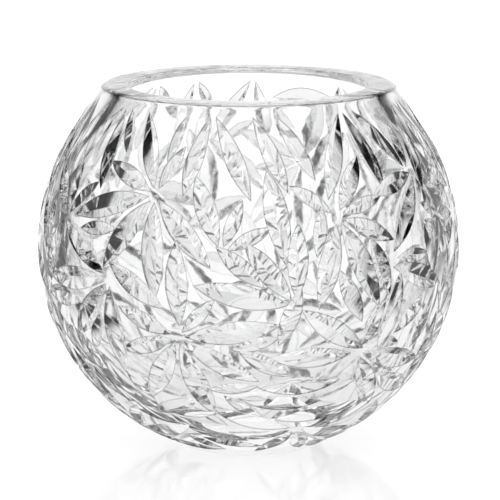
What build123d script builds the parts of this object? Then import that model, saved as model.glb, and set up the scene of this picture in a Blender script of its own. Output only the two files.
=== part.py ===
from build123d import *
import math
import os

import numpy as np

# Rose bowl of clear cut crystal, one blown and wheel-cut piece of glass.
# Millimetres, +Z up, origin at the centre of the flat underside of the foot.

# Form of the bowl: a ball, flat underneath, with a straight neck that runs on from it
BODY_RADIUS = 100.0         # outside of the ball
FOOT_CUT = 4.0              # what the flat underside takes off the ball
FOOT_RADIUS = 31.0          # flat underside
FOOT_RISE = 6.0             # height of the straight bevel round the foot
SHOULDER_ANGLE = 33.4       # degrees above the widest level where the ball turns into the neck
NECK_LENGTH = 26.4          # from there up to the rim, along the slope
WALL = 13.5                 # thickness at the widest level
BASE_THICKNESS = 14.0       # glass under the hollow, on the axis
RIM_BEVEL = 2.0             # polished bevel on both edges of the flat rim

# Leaf cuts: V grooves sunk by the edge of a round wheel, so each ends in two points
MITRE_ANGLE = 114.0         # degrees between the two faces of the V
LEAF_SIZES = (              # length of the leaf, radius of the wheel that cuts it
    (46.0, 200.0),
    (41.0, 125.0),
    (36.0, 88.0),
    (30.0, 60.0),
    (24.0, 44.0),
)
OVERLAP = 1.5               # how far the sides of two leaves may run into each other
LEAF_BODY = 0.7             # share of a leaf that keeps to this; its points may run further into others
RIM_BAND = 4.5              # plain band under the top of the rim
FOOT_BAND = 2.2             # plain band above the underside
WHEEL_OVERRUN = 0.35        # how far the cutting wheel stands out of the wall
TIP_OVERRUN = 0.8           # how far it runs on past each point of a leaf

# Sprays: fans of leaves that point away from a small bare spot
RIM_SPRAYS = 13             # fans that hang from the rim
BODY_SPRAYS = 50            # fans spread over the rest of the ball
SPRAY_TOP = 60.0            # height of the highest of those above the widest level
SPRAY_PITCH = 41.0          # degrees between two leaves of a fan
SPRAY_GAP = 3.0             # from the middle of the bare spot to the leaves' points
SINGLE_PLACES = 900         # places tried for single leaves in what is left
SINGLE_TURNS = 6            # ways a single leaf is turned at each place
SPINE_POINTS = 11           # places along a leaf where its distance to others is taken

GOLDEN_TURN = math.pi * (3.0 - math.sqrt(5.0))

# Sizes that follow
CENTRE_HEIGHT = BODY_RADIUS - FOOT_CUT
SHOULDER = math.radians(SHOULDER_ANGLE)
HEIGHT = CENTRE_HEIGHT + BODY_RADIUS * math.sin(SHOULDER) + NECK_LENGTH * math.cos(SHOULDER)
RIM_RADIUS = BODY_RADIUS * math.cos(SHOULDER) - NECK_LENGTH * math.sin(SHOULDER)
HOLLOW_RADIUS = BODY_RADIUS - WALL
HOLLOW_HEIGHT = BASE_THICKNESS + HOLLOW_RADIUS
HALF_MITRE = math.tan(math.radians(MITRE_ANGLE / 2))

# The bevel round the foot, seen from the ball's centre: where it starts, how it leans, how far off it is
BEVEL_TOP_RADIUS = math.sqrt(BODY_RADIUS**2 - (CENTRE_HEIGHT - FOOT_RISE) ** 2)
BEVEL_TOP = math.asin((FOOT_RISE - CENTRE_HEIGHT) / BODY_RADIUS)
BEVEL_LEAN = math.atan2(FOOT_RADIUS - BEVEL_TOP_RADIUS, FOOT_RISE)
BEVEL_REACH = FOOT_RADIUS * math.cos(BEVEL_LEAN) - CENTRE_HEIGHT * math.sin(BEVEL_LEAN)


def on_circle(radius, height, angle):
    """Point of a half section, on a circle about the axis point at that height."""
    return (radius * math.cos(angle), height + radius * math.sin(angle))


def bowl_blank():
    """The bowl before cutting, turned from its half section."""
    shoulder = on_circle(BODY_RADIUS, CENTRE_HEIGHT, SHOULDER)
    inner_shoulder = on_circle(HOLLOW_RADIUS, HOLLOW_HEIGHT, SHOULDER)
    mouth_radius = inner_shoulder[0] - (HEIGHT - inner_shoulder[1]) * math.tan(SHOULDER)
    bevel_top = (BEVEL_TOP_RADIUS, FOOT_RISE)
    with BuildPart() as blank:
        with BuildSketch(Plane.XZ) as section:
            with BuildLine():
                Line((0, 0), (FOOT_RADIUS, 0))
                Line((FOOT_RADIUS, 0), bevel_top)
                ThreePointArc(bevel_top, on_circle(BODY_RADIUS, CENTRE_HEIGHT, 0), shoulder)
                Line(shoulder, (RIM_RADIUS, HEIGHT))
                Line((RIM_RADIUS, HEIGHT), (mouth_radius, HEIGHT))
                Line((mouth_radius, HEIGHT), inner_shoulder)
                ThreePointArc(
                    inner_shoulder,
                    on_circle(HOLLOW_RADIUS, HOLLOW_HEIGHT, -math.pi / 4),
                    (0, BASE_THICKNESS),
                )
                Line((0, BASE_THICKNESS), (0, 0))
            make_face()
            chamfer(section.vertices().group_by(Axis.Y)[-1], RIM_BEVEL)
        revolve(axis=Axis.Z)
    return blank.part


def wall_at(place):
    """How far the outer wall is from the ball's centre in a direction, and how much its normal rises."""
    rise = math.asin(place[2])
    if rise > SHOULDER:
        return BODY_RADIUS / math.cos(rise - SHOULDER), SHOULDER
    if rise < BEVEL_TOP:
        return BEVEL_REACH / math.cos(rise - BEVEL_LEAN), BEVEL_LEAN
    return BODY_RADIUS, rise


def wall_point(place):
    """Point of the outer wall in a direction from the ball's centre."""
    reach, _ = wall_at(place)
    return Vector(*(place * reach)) + Vector(0, 0, CENTRE_HEIGHT)


def wall_normal(place):
    """Outward normal of the outer wall in a direction from the ball's centre."""
    _, rise = wall_at(place)
    bearing = math.atan2(place[1], place[0])
    return Vector(math.cos(rise) * math.cos(bearing), math.cos(rise) * math.sin(bearing), math.sin(rise))


def direction(bearing, sine_of_rise):
    """Unit vector from the ball's centre."""
    level = math.sqrt(1.0 - sine_of_rise**2)
    return np.array([level * math.cos(bearing), level * math.sin(bearing), sine_of_rise])


def tangent(place, turn):
    """Unit vector along the ball's surface, turned from straight up towards the east."""
    east = np.array([-place[1], place[0], 0.0]) / math.hypot(place[0], place[1])
    north = np.cross(place, east)
    return math.sin(turn) * east + math.cos(turn) * north


class Leaf:
    """One leaf cut: its middle and its run as unit vectors, its length and its wheel."""

    def __init__(self, middle, run, length, wheel):
        self.middle = middle
        self.run = run
        self.length = length
        self.wheel = wheel
        self.half_width = length**2 / 8 * (1 / BODY_RADIUS + 1 / wheel) * HALF_MITRE

    def place(self, share):
        """Direction of a point of the leaf's middle line, from -1 at one tip to 1 at the other."""
        angle = share * self.length / 2 / BODY_RADIUS
        return self.middle * math.cos(angle) + self.run * math.sin(angle)

    def spine(self, share):
        """Places on the middle line up to a share of the way to both tips, and the half widths there."""
        shares = np.linspace(-share, share, SPINE_POINTS)
        return np.array([self.place(s) for s in shares]), self.half_width * (1 - shares**2)

    def in_band(self):
        """Whether the leaf stays between the plain bands at the rim and the foot."""
        for place, half_width in zip(*self.spine(1.0)):
            height = CENTRE_HEIGHT + place[2] * wall_at(place)[0]
            reach = half_width * math.sqrt(1.0 - place[2] ** 2)
            if height + reach > HEIGHT - RIM_BAND or height - reach < FOOT_BAND:
                return False
        return True


class LeafPlan:
    """The leaves chosen so far, none of which runs far into another, apart from its points."""

    def __init__(self):
        self.leaves = []
        self.spines = np.empty((0, 3))
        self.half_widths = np.empty(0)

    def add_if_clear(self, leaf):
        """Add the leaf where it has room, and say whether it had."""
        if not leaf.in_band():
            return False
        spine, half_widths = leaf.spine(LEAF_BODY)
        distance = BODY_RADIUS * np.sqrt(np.maximum(0.0, 2 - 2 * spine @ self.spines.T))
        room = distance - half_widths[:, None] - self.half_widths[None, :]
        if np.any(room < -OVERLAP):
            return False
        self.leaves.append(leaf)
        self.spines = np.vstack([self.spines, spine])
        self.half_widths = np.concatenate([self.half_widths, half_widths])
        return True

    def add_spray(self, centre, middle_turn, count):
        """A fan of leaves about a bare spot, every other one a size smaller, or as long as has room."""
        for k in range(count):
            run = tangent(centre, middle_turn + (k - (count - 1) / 2) * math.radians(SPRAY_PITCH))
            for length, wheel in LEAF_SIZES[(k + count) % 2 :]:
                angle = (length / 2 + SPRAY_GAP) / BODY_RADIUS
                middle = centre * math.cos(angle) + run * math.sin(angle)
                onward = run * math.cos(angle) - centre * math.sin(angle)
                if self.add_if_clear(Leaf(middle, onward, length, wheel)):
                    break

    def add_singles(self, length, wheel, lowest, highest):
        """Single leaves of one size wherever they still fit."""
        for k in range(SINGLE_PLACES):
            place = direction(k * GOLDEN_TURN, highest + (lowest - highest) * (k + 0.5) / SINGLE_PLACES)
            for j in range(SINGLE_TURNS):
                run = tangent(place, 1.7 * k + j * math.pi / SINGLE_TURNS)
                if self.add_if_clear(Leaf(place, run, length, wheel)):
                    break


def plan_leaves():
    """Sprays under the rim and on a spiral down the ball, then single leaves between them."""
    plan = LeafPlan()
    lowest = (FOOT_BAND - CENTRE_HEIGHT) / BODY_RADIUS
    highest = (HEIGHT - RIM_BAND - CENTRE_HEIGHT) / BODY_RADIUS
    rim_rise = math.sin(math.atan2(HEIGHT - RIM_BAND - CENTRE_HEIGHT, RIM_RADIUS))
    for k in range(RIM_SPRAYS):
        bearing = 2 * math.pi * (k + 0.28 * math.sin(2.3 * k)) / RIM_SPRAYS
        plan.add_spray(direction(bearing, rim_rise), math.pi + 0.25 * math.sin(5 * k), 4 + k % 2)
    spray_top = SPRAY_TOP / BODY_RADIUS
    for k in range(BODY_SPRAYS):
        sine_of_rise = spray_top + (lowest - spray_top) * (k + 0.5) / BODY_SPRAYS
        plan.add_spray(direction(k * GOLDEN_TURN, sine_of_rise), 2.4 * k * k, 5 + 5 * k % 3)
    for length, wheel in LEAF_SIZES[1:]:
        plan.add_singles(length, wheel, lowest, highest)
    return plan.leaves


def leaf_cutter(leaf):
    """The stretch of the wheel's edge that sinks the leaf: its rim passes through both points of it."""
    first, last = (wall_point(leaf.place(share)) for share in (-1, 1))
    chord = last - first
    along = chord.normalized()
    normal = wall_normal(leaf.middle)
    outward = (normal - along * normal.dot(along)).normalized()
    mid_chord = (first + last) * 0.5
    axle_height = math.sqrt(leaf.wheel**2 - (chord.length / 2) ** 2)
    depth = leaf.wheel - axle_height + (wall_point(leaf.middle) - mid_chord).dot(outward)
    edge_height = depth + WHEEL_OVERRUN
    edge_half_width = edge_height * HALF_MITRE
    sweep = 2 * math.degrees(math.asin((chord.length / 2 + TIP_OVERRUN) / leaf.wheel))
    section_plane = Plane(mid_chord + outward * axle_height, x_dir=-outward, z_dir=along)
    with BuildSketch(section_plane) as edge:
        Polygon(
            (leaf.wheel, 0),
            (leaf.wheel - edge_height, edge_half_width),
            (leaf.wheel - edge_height, -edge_half_width),
            align=None,
        )
    axle = Axis(section_plane.origin, section_plane.y_dir)
    return Solid.revolve(edge.sketch.faces()[0].rotate(axle, -sweep / 2), sweep, axle)


def bowl():
    """The bowl with its leaves cut in one pass."""
    cutters = [leaf_cutter(leaf) for leaf in plan_leaves()]
    return bowl_blank().solid().cut(*cutters)


os.makedirs("parts", exist_ok=True)
export_step(bowl(), "parts/bowl.step")
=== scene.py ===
import math

import bpy
import numpy as np
from mathutils import Matrix, Vector


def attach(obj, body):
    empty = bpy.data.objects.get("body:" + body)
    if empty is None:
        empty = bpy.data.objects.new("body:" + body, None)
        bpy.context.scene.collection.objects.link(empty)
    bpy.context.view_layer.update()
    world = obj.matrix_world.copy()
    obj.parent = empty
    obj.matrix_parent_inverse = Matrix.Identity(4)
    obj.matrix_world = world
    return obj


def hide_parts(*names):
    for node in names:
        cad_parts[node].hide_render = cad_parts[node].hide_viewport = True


# Rose bowl of clear cut crystal on a plain white floor in soft studio light.
# Lengths of the glass and its cuts are in millimetres, and MM makes them metres.
# The floor and the camera's distance are in metres.

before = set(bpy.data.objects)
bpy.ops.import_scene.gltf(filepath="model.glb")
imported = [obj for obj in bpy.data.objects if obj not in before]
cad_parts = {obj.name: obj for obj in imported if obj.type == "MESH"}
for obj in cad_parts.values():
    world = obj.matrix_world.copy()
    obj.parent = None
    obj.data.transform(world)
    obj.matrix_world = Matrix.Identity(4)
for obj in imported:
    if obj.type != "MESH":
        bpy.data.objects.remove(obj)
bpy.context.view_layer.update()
MM = 0.001

# Form of the bowl
BODY_RADIUS = 100.0
FOOT_CUT = 4.0
FOOT_RADIUS = 31.0
FOOT_RISE = 6.0
SHOULDER = math.radians(33.4)
NECK_LENGTH = 26.4
WALL = 13.5
BASE_THICKNESS = 14.0
RIM_BEVEL = 2.0
CENTRE_HEIGHT = BODY_RADIUS - FOOT_CUT
HEIGHT = CENTRE_HEIGHT + BODY_RADIUS * math.sin(SHOULDER) + NECK_LENGTH * math.cos(SHOULDER)
RIM_RADIUS = BODY_RADIUS * math.cos(SHOULDER) - NECK_LENGTH * math.sin(SHOULDER)
HOLLOW_RADIUS = BODY_RADIUS - WALL
HOLLOW_HEIGHT = BASE_THICKNESS + HOLLOW_RADIUS
BEVEL_TOP_RADIUS = math.sqrt(BODY_RADIUS**2 - (CENTRE_HEIGHT - FOOT_RISE) ** 2)
BEVEL_TOP = math.asin((FOOT_RISE - CENTRE_HEIGHT) / BODY_RADIUS)
BEVEL_LEAN = math.atan2(FOOT_RADIUS - BEVEL_TOP_RADIUS, FOOT_RISE)
BEVEL_REACH = FOOT_RADIUS * math.cos(BEVEL_LEAN) - CENTRE_HEIGHT * math.sin(BEVEL_LEAN)

# Fineness of the mesh, and what its clean-up merges, closes and smooths
TURN_STEPS = 288
ARC_STEP = math.radians(1.5)
FOOT_STEPS = 4
FOOT_BEVEL_STEPS = 3
NECK_STEPS = 8
RIM_BEVEL_STEPS = 5
WHEEL_STEPS = 18
SEAM = 0.001
SLIVER = 0.002
HOLE_SIDES = 8
SMOOTH_ANGLE = math.radians(18.0)

# Leaf cuts, as the cutter's wheels make them: each size is a length and its wheel's radius
MITRE = math.radians(114.0)
HALF_MITRE = math.tan(MITRE / 2)
LEAF_SIZES = ((46.0, 200.0), (41.0, 125.0), (36.0, 88.0), (30.0, 60.0), (24.0, 44.0))
WHEEL_OVERRUN = 0.8
TIP_OVERRUN = 0.8

# Room between leaves: their bodies may overlap a little and their points more
OVERLAP = 1.5
LEAF_BODY = 0.7
WHOLE_LEAF = 1.0
SPINE_POINTS = 11
PASS_ROOM = 4.0
RIM_BAND = 4.5
FOOT_BAND = 2.2

# Layout of the leaves: fans under the rim, sprays on a spiral down the ball and singles in the gaps
SPRAY_PITCH = math.radians(41.0)
SPRAY_GAP = 3.0
RIM_SPRAYS = 13
RIM_SPRAY_LEAVES = (4, 5)
RIM_STAGGER = (0.28, 2.3)
RIM_LEAN = (0.25, 5.0)
BODY_SPRAYS = 50
BODY_SPRAY_LEAVES = (5, 7, 6)
BODY_SPRAY_TWIST = 2.4
SPRAY_TOP = 60.0
SINGLE_PLACES = 900
SINGLE_TURNS = 6
SINGLE_TWIST = 1.7
GOLDEN_TURN = math.pi * (3.0 - math.sqrt(5.0))

# Finish of the glass, with painted shade: the cuts, tinted a shade greyer, and the painted dark lines
# along their edges begin and end at depths below the uncut wall
WALL_COLOUR = (0.995, 0.998, 0.998, 1)
# Painted shade: the cut faces are tinted a shade greyer than the wall
CUT_PAINTED_SHADE_COLOUR = (0.98, 0.982, 0.982, 1)
# Painted shade: a dark grey line along the edge of each cut, fading out where the cut's body begins
PAINTED_EDGE_SHADE_COLOUR = (0.25, 0.25, 0.25, 1)
CUT_EDGE = (0.03, 0.1)
PAINTED_EDGE_SHADE_FADE = (0.3, 0.45)
CUT_ROUGHNESS = 0.03
INNER_ROUGHNESS = 0.06
EDGE_RADIUS = 0.3
EDGE_SAMPLES = 4
RIPPLE = 0.02
RIPPLE_SCALE = 220.0
RIPPLE_DETAIL = 1.0
GLASS_IOR = 1.54
ABSORPTION = 0.4

# Floor, and how far to the side it turns dark for the sparkle in the glass
BLACK = (0, 0, 0, 1)
WHITE = (1, 1, 1, 1)
FLOOR_SIZE = 30.0
FLOOR_COLOUR = (0.45, 0.45, 0.45, 1)
FLOOR_ROUGHNESS = 0.12
FLOOR_IOR = 1.25
FLOOR_GLOW = (0.55, 0.55, 0.55, 1)
FLOOR_GLOW_IN_GLASS = (0.62, 0.62, 0.62, 1)
DARK_FLOOR_EDGE = (0.15, 0.3)

# Surround, in degrees: tones by height, the side screens' edges, and how high outside gloss sees them
BACKDROP = (
    (-90, 1.0), (12, 1.0), (22, 0.7), (32, 0.08), (58, 0.05), (64, 0.3), (70, 1.0), (90, 1.0)
)
SCREENS = ((-90, 1.0), (-1, 1.0), (1, 0.01), (16, 0.0), (66, 0.0), (74, 1.0), (90, 1.0))
SCREEN_EDGE = (22, 35)
MIRROR_EDGE = (16, 26)

# Camera, set by the ball's radius and place in the frame in pixels, with its sensor in millimetres
CAMERA_DISTANCE = 2.4
CAMERA_RISE = math.radians(9.8)
SENSOR_WIDTH = 36.0
FRAME_PIXELS = 500
BALL_PIXELS = 210.5
BALL_RIGHT_PIXELS = -1.5
BALL_UP_PIXELS = 6.0

# Bounces of light that thick cut glass needs
GLASS_BOUNCES = 32
GLOSS_BOUNCES = 24


def only(piece):
    """Select one object and make it the active one."""
    bpy.ops.object.select_all(action="DESELECT")
    piece.select_set(True)
    bpy.context.view_layer.objects.active = piece


def wall_at(place):
    """Distance of the outer wall from the ball's centre in a direction, and its normal's rise."""
    rise = math.asin(place[2])
    if rise > SHOULDER:
        return BODY_RADIUS / math.cos(rise - SHOULDER), SHOULDER
    if rise < BEVEL_TOP:
        return BEVEL_REACH / math.cos(rise - BEVEL_LEAN), BEVEL_LEAN
    return BODY_RADIUS, rise


def wall_point(place):
    """Point of the outer wall in a direction from the ball's centre."""
    return Vector(place * wall_at(place)[0]) + Vector((0, 0, CENTRE_HEIGHT))


def wall_normal(place):
    """Outward normal of the outer wall in a direction from the ball's centre."""
    rise = wall_at(place)[1]
    bearing = math.atan2(place[1], place[0])
    level = math.cos(rise)
    return Vector((level * math.cos(bearing), level * math.sin(bearing), math.sin(rise)))


def direction(bearing, sine_of_rise):
    """Unit vector from the ball's centre."""
    level = math.sqrt(1.0 - sine_of_rise**2)
    return np.array([level * math.cos(bearing), level * math.sin(bearing), sine_of_rise])


def tangent(place, turn):
    """Unit vector along the ball's surface, turned from straight up towards the east."""
    east = np.array([-place[1], place[0], 0.0]) / math.hypot(place[0], place[1])
    north = np.cross(place, east)
    return math.sin(turn) * east + math.cos(turn) * north


def sway(k, size, step):
    """A swing to and fro from one spray to the next."""
    return size * math.sin(step * k)


class Leaf:
    """One leaf cut: its middle and its run as unit vectors, its length and its wheel."""

    def __init__(self, middle, run, length, wheel):
        self.middle = middle
        self.run = run
        self.length = length
        self.wheel = wheel
        self.half_width = leaf_depth(length, wheel) * HALF_MITRE

    def place(self, share):
        """Direction of a point of the leaf's middle line, from -1 at one tip to 1 at the other."""
        angle = share * self.length / 2 / BODY_RADIUS
        return self.middle * math.cos(angle) + self.run * math.sin(angle)

    def spine(self, share):
        """Places on the middle line up to a share of the way to its tips, and half widths there."""
        shares = np.linspace(-share, share, SPINE_POINTS)
        return np.array([self.place(s) for s in shares]), self.half_width * (1 - shares**2)

    def in_band(self):
        """Whether the leaf stays between the plain bands at the rim and the foot."""
        for place, half_width in zip(*self.spine(WHOLE_LEAF)):
            height = CENTRE_HEIGHT + place[2] * wall_at(place)[0]
            reach = half_width * math.sqrt(1.0 - place[2] ** 2)
            if height + reach > HEIGHT - RIM_BAND or height - reach < FOOT_BAND:
                return False
        return True


def leaf_depth(length, wheel):
    """How deep the wheel goes into the ball at the middle of a leaf."""
    return length**2 / 8 * (1 / BODY_RADIUS + 1 / wheel)


class LeafPlan:
    """Leaves that keep some room between them, or overlap by a set amount at most."""

    def __init__(self, room, body):
        self.room = room
        self.body = body
        self.leaves = []
        self.spines = np.empty((0, 3))
        self.half_widths = np.empty(0)

    def add_if_clear(self, leaf):
        """Add the leaf where it has room, and say whether it had."""
        spine, half_widths = leaf.spine(self.body)
        distance = BODY_RADIUS * np.sqrt(np.maximum(0.0, 2 - 2 * spine @ self.spines.T))
        room = distance - half_widths[:, None] - self.half_widths[None, :]
        if np.any(room < self.room):
            return False
        self.leaves.append(leaf)
        self.spines = np.vstack([self.spines, spine])
        self.half_widths = np.concatenate([self.half_widths, half_widths])
        return True

    def try_leaf(self, leaf):
        """Add the leaf if it keeps off the plain bands and has room."""
        return leaf.in_band() and self.add_if_clear(leaf)

    def add_spray(self, centre, middle_turn, count):
        """A fan of leaves about a bare spot, every other one a size smaller, or as long as fits."""
        for k in range(count):
            run = tangent(centre, middle_turn + (k - (count - 1) / 2) * SPRAY_PITCH)
            for length, wheel in LEAF_SIZES[(k + count) % 2 :]:
                angle = (length / 2 + SPRAY_GAP) / BODY_RADIUS
                middle = centre * math.cos(angle) + run * math.sin(angle)
                onward = run * math.cos(angle) - centre * math.sin(angle)
                if self.try_leaf(Leaf(middle, onward, length, wheel)):
                    break

    def add_singles(self, length, wheel, lowest, highest):
        """Single leaves of one size wherever they still fit."""
        for k in range(SINGLE_PLACES):
            sine_of_rise = highest + (lowest - highest) * (k + 0.5) / SINGLE_PLACES
            place = direction(k * GOLDEN_TURN, sine_of_rise)
            for j in range(SINGLE_TURNS):
                run = tangent(place, SINGLE_TWIST * k + j * math.pi / SINGLE_TURNS)
                if self.try_leaf(Leaf(place, run, length, wheel)):
                    break


def plan_leaves():
    """Fans under the rim, sprays on a spiral down the ball, then single leaves between them."""
    plan = LeafPlan(-OVERLAP, LEAF_BODY)
    lowest = (FOOT_BAND - CENTRE_HEIGHT) / BODY_RADIUS
    highest = (HEIGHT - RIM_BAND - CENTRE_HEIGHT) / BODY_RADIUS
    rim_rise = math.sin(math.atan2(HEIGHT - RIM_BAND - CENTRE_HEIGHT, RIM_RADIUS))
    for k in range(RIM_SPRAYS):
        bearing = 2 * math.pi * (k + sway(k, *RIM_STAGGER)) / RIM_SPRAYS
        turn = math.pi + sway(k, *RIM_LEAN)
        count = RIM_SPRAY_LEAVES[k % len(RIM_SPRAY_LEAVES)]
        plan.add_spray(direction(bearing, rim_rise), turn, count)
    spray_top = SPRAY_TOP / BODY_RADIUS
    for k in range(BODY_SPRAYS):
        sine_of_rise = spray_top + (lowest - spray_top) * (k + 0.5) / BODY_SPRAYS
        turn = BODY_SPRAY_TWIST * k * k
        count = BODY_SPRAY_LEAVES[k % len(BODY_SPRAY_LEAVES)]
        plan.add_spray(direction(k * GOLDEN_TURN, sine_of_rise), turn, count)
    for length, wheel in LEAF_SIZES[1:]:
        plan.add_singles(length, wheel, lowest, highest)
    return plan.leaves


def cutting_passes(leaves):
    """The leaves sorted into passes, in each of which no two wheels come near each other."""
    passes = []
    for leaf in leaves:
        for cut in passes:
            if cut.add_if_clear(leaf):
                break
        else:
            passes.append(LeafPlan(PASS_ROOM, WHOLE_LEAF))
            passes[-1].add_if_clear(leaf)
    return [cut.leaves for cut in passes]


def arc(radius, height, start, end):
    """Points of a half section on a circle about the axis, ends included."""
    steps = max(2, round(abs(end - start) / ARC_STEP))
    angles = [start + (end - start) * k / steps for k in range(steps + 1)]
    return [(radius * math.cos(a), height + radius * math.sin(a)) for a in angles]


def straight(start, end, steps):
    """Points between two points of a half section, both left out."""
    across = end[0] - start[0]
    up = end[1] - start[1]
    shares = [k / steps for k in range(1, steps)]
    return [(start[0] + across * s, start[1] + up * s) for s in shares]


def bowl_section():
    """Half section of the uncut bowl, from the foot's middle over the rim to the hollow's floor."""
    outer = arc(BODY_RADIUS, CENTRE_HEIGHT, BEVEL_TOP, SHOULDER)
    inner = arc(HOLLOW_RADIUS, HOLLOW_HEIGHT, SHOULDER, -math.pi / 2)
    mouth_radius = inner[0][0] - (HEIGHT - inner[0][1]) * math.tan(SHOULDER)
    rim = (RIM_RADIUS, HEIGHT)
    mouth = (mouth_radius, HEIGHT)
    foot = (FOOT_RADIUS, 0.0)
    inner[-1] = (0.0, BASE_THICKNESS)
    foot_line = [(0.0, 0.0)] + straight((0.0, 0.0), foot, FOOT_STEPS) + [foot]
    bevel_line = straight(foot, outer[0], FOOT_BEVEL_STEPS)
    neck_line = straight(outer[-1], rim, NECK_STEPS) + [rim]
    mouth_line = [mouth] + straight(mouth, inner[0], NECK_STEPS)
    return foot_line + bevel_line + outer + neck_line + mouth_line + inner


def bowl_blank():
    """The bowl before cutting, spun from its half section."""
    bpy.ops.object.select_all(action="DESELECT")
    bpy.ops.mesh.primitive_plane_add(size=MM)
    blank = bpy.context.object
    blank.name = "cut_bowl"
    section = [Vector((r, 0.0, z)) * MM for r, z in bowl_section()]
    bpy.ops.object.mode_set(mode="EDIT")
    bpy.ops.mesh.merge(type="CENTER")
    for here, there in zip([Vector((0, 0, 0))] + section[:-1], section):
        if there != here:
            bpy.ops.mesh.extrude_vertices_move(TRANSFORM_OT_translate={"value": there - here})
    bpy.ops.mesh.select_all(action="SELECT")
    bpy.ops.mesh.spin(steps=TURN_STEPS, angle=2 * math.pi, center=(0, 0, 0), axis=(0, 0, 1))
    bpy.ops.mesh.select_all(action="SELECT")
    bpy.ops.mesh.remove_doubles(threshold=SEAM * MM)
    bpy.ops.mesh.normals_make_consistent(inside=False)
    bpy.ops.mesh.select_mode(type="EDGE")
    bpy.ops.mesh.select_all(action="DESELECT")
    bpy.ops.object.mode_set(mode="OBJECT")
    return blank


def round_rim(blank):
    """Round both edges of the flat rim."""
    slack = RIM_BEVEL / 10
    for edge in blank.data.edges:
        first, last = (blank.data.vertices[k].co for k in edge.vertices)
        on_top = min(first.z, last.z) > (HEIGHT - slack) * MM
        edge.select = on_top and abs(first.xy.length - last.xy.length) < slack * MM
    bpy.ops.object.mode_set(mode="EDIT")
    bpy.ops.mesh.bevel(offset=RIM_BEVEL * MM, segments=RIM_BEVEL_STEPS, affect="EDGES")
    bpy.ops.object.mode_set(mode="OBJECT")


def wheel_edge(length, wheel):
    """The stretch of a wheel's V edge that sinks a leaf of one size, turned about X."""
    half_chord = BODY_RADIUS * math.sin(length / 2 / BODY_RADIUS)
    height = leaf_depth(length, wheel) + WHEEL_OVERRUN
    half_width = height * HALF_MITRE
    sweep = 2 * math.asin((half_chord + TIP_OVERRUN) / wheel)
    bpy.ops.object.select_all(action="DESELECT")
    bpy.ops.mesh.primitive_circle_add(vertices=3, fill_type="NGON")
    edge = bpy.context.object
    corners = ((0, wheel), (half_width, wheel - height), (-half_width, wheel - height))
    start = -sweep / 2
    for vertex, (across, reach) in zip(edge.data.vertices, corners):
        vertex.co = Vector((across, reach * math.sin(start), -reach * math.cos(start))) * MM
    bpy.ops.object.mode_set(mode="EDIT")
    bpy.ops.mesh.select_all(action="SELECT")
    bpy.ops.mesh.spin(steps=WHEEL_STEPS, angle=sweep, center=(0, 0, 0), axis=(-1, 0, 0))
    bpy.ops.mesh.select_all(action="SELECT")
    bpy.ops.mesh.normals_make_consistent(inside=False)
    bpy.ops.object.mode_set(mode="OBJECT")
    return edge


def leaf_placement(leaf):
    """Where the wheel stands for a leaf: its rim passes through both of the leaf's points."""
    first = wall_point(leaf.place(-1))
    last = wall_point(leaf.place(1))
    along = (last - first).normalized()
    normal = wall_normal(leaf.middle)
    outward = (normal - along * normal.dot(along)).normalized()
    across = along.cross(outward)
    axle_height = math.sqrt(leaf.wheel**2 - ((last - first).length / 2) ** 2)
    axle = ((first + last) / 2 + outward * axle_height) * MM
    placement = Matrix((across, along, outward)).transposed().to_4x4()
    placement.translation = axle
    return placement


def cut_leaves(bowl, leaves):
    """Cut the leaves into the bowl, a pass of well separated ones at a time."""
    wheels = {size: wheel_edge(*size) for size in LEAF_SIZES}
    for cut in cutting_passes(leaves):
        bpy.ops.object.select_all(action="DESELECT")
        copies = []
        for leaf in cut:
            copy = wheels[leaf.length, leaf.wheel].copy()
            copy.data = copy.data.copy()
            copy.data.transform(leaf_placement(leaf))
            bpy.context.scene.collection.objects.link(copy)
            copy.select_set(True)
            copies.append(copy)
        bpy.context.view_layer.objects.active = copies[0]
        bpy.ops.object.join()
        only(bowl)
        boolean = bowl.modifiers.new("leaf pass", "BOOLEAN")
        boolean.operation = "DIFFERENCE"
        boolean.solver = "MANIFOLD"
        boolean.object = copies[0]
        bpy.ops.object.modifier_apply(modifier=boolean.name)
        bpy.data.objects.remove(copies[0])
    for wheel in wheels.values():
        bpy.data.objects.remove(wheel)


def cut_bowl():
    """The finished bowl: spun, its rim rounded, its leaves cut, and smooth between the cuts."""
    bowl = bowl_blank()
    round_rim(bowl)
    cut_leaves(bowl, plan_leaves())
    only(bowl)
    bpy.ops.object.mode_set(mode="EDIT")
    bpy.ops.mesh.select_all(action="SELECT")
    bpy.ops.mesh.remove_doubles(threshold=SLIVER * MM)
    bpy.ops.mesh.dissolve_degenerate(threshold=SLIVER * MM)
    bpy.ops.mesh.delete_loose()
    bpy.ops.mesh.select_all(action="SELECT")
    bpy.ops.mesh.fill_holes(sides=HOLE_SIDES)
    bpy.ops.object.mode_set(mode="OBJECT")
    bpy.ops.object.shade_smooth_by_angle(angle=SMOOTH_ANGLE)
    return bowl


class Value:
    """A shader socket that takes part in Python sums."""

    def __init__(self, nodes, socket):
        self.nodes = nodes
        self.socket = socket

    def maths(self, operation, *others):
        """A sum by its name in the Math node, with this value first."""
        node = self.nodes.tree.nodes.new("ShaderNodeMath")
        node.operation = operation
        for slot, term in zip(node.inputs, (self, *others)):
            self.nodes.feed(slot, term)
        return Value(self.nodes, node.outputs[0])

    def __add__(self, other):
        return self.maths("ADD", other)

    def __sub__(self, other):
        return self.maths("SUBTRACT", other)

    def __rsub__(self, other):
        return self.maths("MULTIPLY_ADD", -1.0, other)

    def __mul__(self, other):
        return self.maths("MULTIPLY", other)

    __radd__ = __add__
    __rmul__ = __mul__


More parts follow.
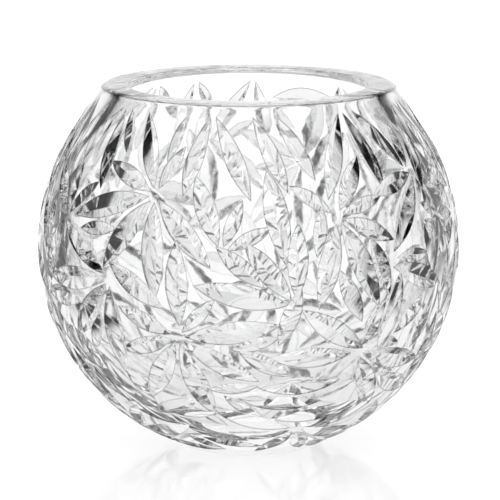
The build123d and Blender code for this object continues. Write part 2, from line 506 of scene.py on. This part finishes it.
class Nodes:
    """A node tree that is filled by naming nodes."""

    def __init__(self, tree):
        self.tree = tree
        tree.nodes.clear()

    def feed(self, slot, value):
        """Link a value to a socket, or set the socket to a plain number or colour."""
        if isinstance(value, Value):
            self.tree.links.new(value.socket, slot)
        else:
            slot.default_value = value

    def add(self, kind, settings=None, output=0, **inputs):
        """A node by type, with its settings and then its sockets by name, spaces as underscores."""
        node = self.tree.nodes.new("ShaderNode" + kind)
        for name, setting in (settings or {}).items():
            if name == "stops":
                ramp = node.color_ramp.elements
                while len(ramp) < len(setting):
                    ramp.new(0.5)
                for element, (place, shade) in zip(ramp, setting):
                    element.position = place
                    element.color = (shade, shade, shade, 1)
            else:
                setattr(node, name, setting)
        for name, value in inputs.items():
            self.feed(node.inputs[name.replace("_", " ")], value)
        return Value(self, node.outputs[output]) if node.outputs else None


def smooth_step(nodes, value, low, high):
    """Zero below one value, one above another, and smooth between them."""
    smooth = {"interpolation_type": "SMOOTHSTEP"}
    return nodes.add("MapRange", smooth, Value=value, From_Min=low, From_Max=high)


def finish_and_painted_shade_shares(nodes, place):
    """One on the cut faces, on the painted dark lines along their edges and in the hollow, from how
    deep a point lies.
    """
    x, y, z = (nodes.add("SeparateXYZ", output=axis, Vector=place) for axis in "XYZ")
    up = z - CENTRE_HEIGHT * MM
    level = (x * x + y * y).maths("SQRT")
    ball = (level * level + up * up).maths("SQRT")
    neck = level * math.cos(SHOULDER) + up * math.sin(SHOULDER)
    on_neck = up.maths("GREATER_THAN", BODY_RADIUS * MM * math.sin(SHOULDER))
    depth = BODY_RADIUS * MM - (ball + on_neck * (neck - ball))
    edges = [(near * MM, far * MM) for near, far in (CUT_EDGE, PAINTED_EDGE_SHADE_FADE)]
    cut, body = (smooth_step(nodes, depth, *edge) for edge in edges)
    inside = depth.maths("GREATER_THAN", WALL / 2 * MM)
    # Between the cut's edge and its body lies the painted dark line along the edge
    return cut - inside, cut - body, inside


def crystal():
    """Clear crystal: polished wall, cuts a little rougher and painted a shade greyer, painted dark
    lines along their edges, and a faint ripple.
    """
    material = bpy.data.materials.new("crystal")
    material.use_nodes = True
    nodes = Nodes(material.node_tree)
    place = nodes.add("TexCoord", output="Object")
    cut, painted_edge_shade, inside = finish_and_painted_shade_shares(nodes, place)
    # Painted shade: the cut faces a shade greyer than the wall
    colour = nodes.add("MixRGB", Fac=cut, Color1=WALL_COLOUR, Color2=CUT_PAINTED_SHADE_COLOUR)
    ripple = nodes.add("TexNoise", Vector=place, Scale=RIPPLE_SCALE, Detail=RIPPLE_DETAIL)
    rounded = nodes.add("Bevel", {"samples": EDGE_SAMPLES}, Radius=EDGE_RADIUS * MM)
    bump = nodes.add("Bump", Strength=1.0, Distance=RIPPLE * MM, Height=ripple, Normal=rounded)
    glass = nodes.add(
        "BsdfPrincipled",
        # Painted shade: dark grey lines along the edges of the cuts
        Base_Color=nodes.add("MixRGB", Fac=painted_edge_shade, Color1=colour, Color2=PAINTED_EDGE_SHADE_COLOUR),
        Roughness=cut * CUT_ROUGHNESS + inside * INNER_ROUGHNESS,
        IOR=GLASS_IOR,
        Transmission_Weight=1.0,
        Normal=bump,
    )
    depths = nodes.add("VolumeAbsorption", Color=BLACK, Density=ABSORPTION)
    nodes.add("OutputMaterial", Surface=glass, Volume=depths)
    return material


def seen_directly(nodes):
    """One for rays that show the floor: the camera's, and those in gloss and through glass."""
    kinds = ("Is Camera Ray", "Is Glossy Ray", "Is Transmission Ray")
    camera, glossy, through = (nodes.add("LightPath", output=kind) for kind in kinds)
    return camera.maths("MAXIMUM", glossy).maths("MAXIMUM", through)


def sparkle_rays(nodes, outside=0.0):
    """One for rays both reflected and let through, and a share for those only reflected."""
    kinds = ("Glossy Depth", "Transmission Depth", "Diffuse Depth")
    depths = [nodes.add("LightPath", output=kind) for kind in kinds]
    reflected, through, matt = (depth.maths("MINIMUM", 1.0) for depth in depths)
    return reflected * (1 - matt) * through.maths("MAXIMUM", outside)


def studio_floor():
    """Plain white floor with a little gloss. Sparkle in the glass finds it dark at the sides."""
    bpy.ops.object.select_all(action="DESELECT")
    bpy.ops.mesh.primitive_plane_add(size=FLOOR_SIZE)
    floor = bpy.context.object
    floor.name = "floor"
    material = bpy.data.materials.new("white floor")
    material.use_nodes = True
    nodes = Nodes(material.node_tree)
    place = nodes.add("TexCoord", output="Object")
    aside = nodes.add("SeparateXYZ", output="X", Vector=place).maths("ABSOLUTE")
    dark = smooth_step(nodes, aside, *DARK_FLOOR_EDGE) * sparkle_rays(nodes)
    camera = nodes.add("LightPath", output="Is Camera Ray")
    glow = nodes.add("MixRGB", Fac=camera, Color1=FLOOR_GLOW_IN_GLASS, Color2=FLOOR_GLOW)
    glowing = seen_directly(nodes) * (1 - dark)
    white = nodes.add(
        "BsdfPrincipled",
        Base_Color=nodes.add("MixRGB", Fac=dark, Color1=FLOOR_COLOUR, Color2=BLACK),
        Roughness=FLOOR_ROUGHNESS,
        IOR=FLOOR_IOR,
        Emission_Color=nodes.add("MixRGB", Fac=glowing, Color1=BLACK, Color2=glow),
        Emission_Strength=1.0,
    )
    nodes.add("OutputMaterial", Surface=white)
    floor.data.materials.append(material)


def tones(nodes, height, steps):
    """Tone by elevation above the horizon, in degrees, from the sine of it."""
    stops = [(0.5 + 0.5 * math.sin(math.radians(degrees)), tone) for degrees, tone in steps]
    return nodes.add("ValToRGB", {"stops": stops}, Fac=height * 0.5 + 0.5)


def studio():
    """White surround, in which the sparkle in the glass finds dark side screens and a dim band."""
    world = bpy.data.worlds.new("studio")
    bpy.context.scene.world = world
    world.use_nodes = True
    nodes = Nodes(world.node_tree)
    place = nodes.add("TexCoord", output="Generated")
    x, y, height = (nodes.add("SeparateXYZ", output=axis, Vector=place) for axis in "XYZ")
    backdrop = tones(nodes, height, BACKDROP)
    screens = tones(nodes, height, SCREENS)
    ahead = x.maths("ARCTAN2", y).maths("COSINE").maths("ABSOLUTE")
    near, far = (math.cos(math.radians(degrees)) for degrees in SCREEN_EDGE)
    middle = smooth_step(nodes, ahead, far, near)
    surround = nodes.add("MixRGB", Fac=middle, Color1=screens, Color2=backdrop)
    low, high = (math.sin(math.radians(degrees)) for degrees in MIRROR_EDGE)
    sparkle = sparkle_rays(nodes, smooth_step(nodes, height, low, high))
    colour = nodes.add("MixRGB", Fac=sparkle, Color1=WHITE, Color2=surround)
    background = nodes.add("Background", Color=colour, Strength=1.0)
    nodes.add("OutputWorld", Surface=background)


def aim_camera():
    """Long lens, a little above the bowl, aimed so that it sits in the frame as photographed."""
    data = bpy.data.cameras.new("camera")
    data.sensor_width = SENSOR_WIDTH
    focal_pixels = BALL_PIXELS / math.tan(math.asin(BODY_RADIUS * MM / CAMERA_DISTANCE))
    data.lens = SENSOR_WIDTH * focal_pixels / FRAME_PIXELS
    camera = bpy.data.objects.new("camera", data)
    bpy.context.scene.collection.objects.link(camera)
    back = Vector((0, -math.cos(CAMERA_RISE), math.sin(CAMERA_RISE)))
    camera.location = Vector((0, 0, CENTRE_HEIGHT * MM)) + back * CAMERA_DISTANCE
    turn = (-back).to_track_quat("-Z", "Y")
    aim = turn @ Vector((-BALL_RIGHT_PIXELS, -BALL_UP_PIXELS, -focal_pixels))
    camera.rotation_mode = "QUATERNION"
    camera.rotation_quaternion = aim.to_track_quat("-Z", "Y")
    bpy.context.scene.camera = camera


bowl = cut_bowl()
bowl.data.materials.clear()
bowl.data.materials.append(crystal())
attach(bowl, "root")
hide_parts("bowl")
studio_floor()
studio()
aim_camera()

scene = bpy.context.scene
scene.view_settings.view_transform = "Standard"
scene.cycles.max_bounces = GLASS_BOUNCES
scene.cycles.transmission_bounces = GLASS_BOUNCES
scene.cycles.glossy_bounces = GLOSS_BOUNCES
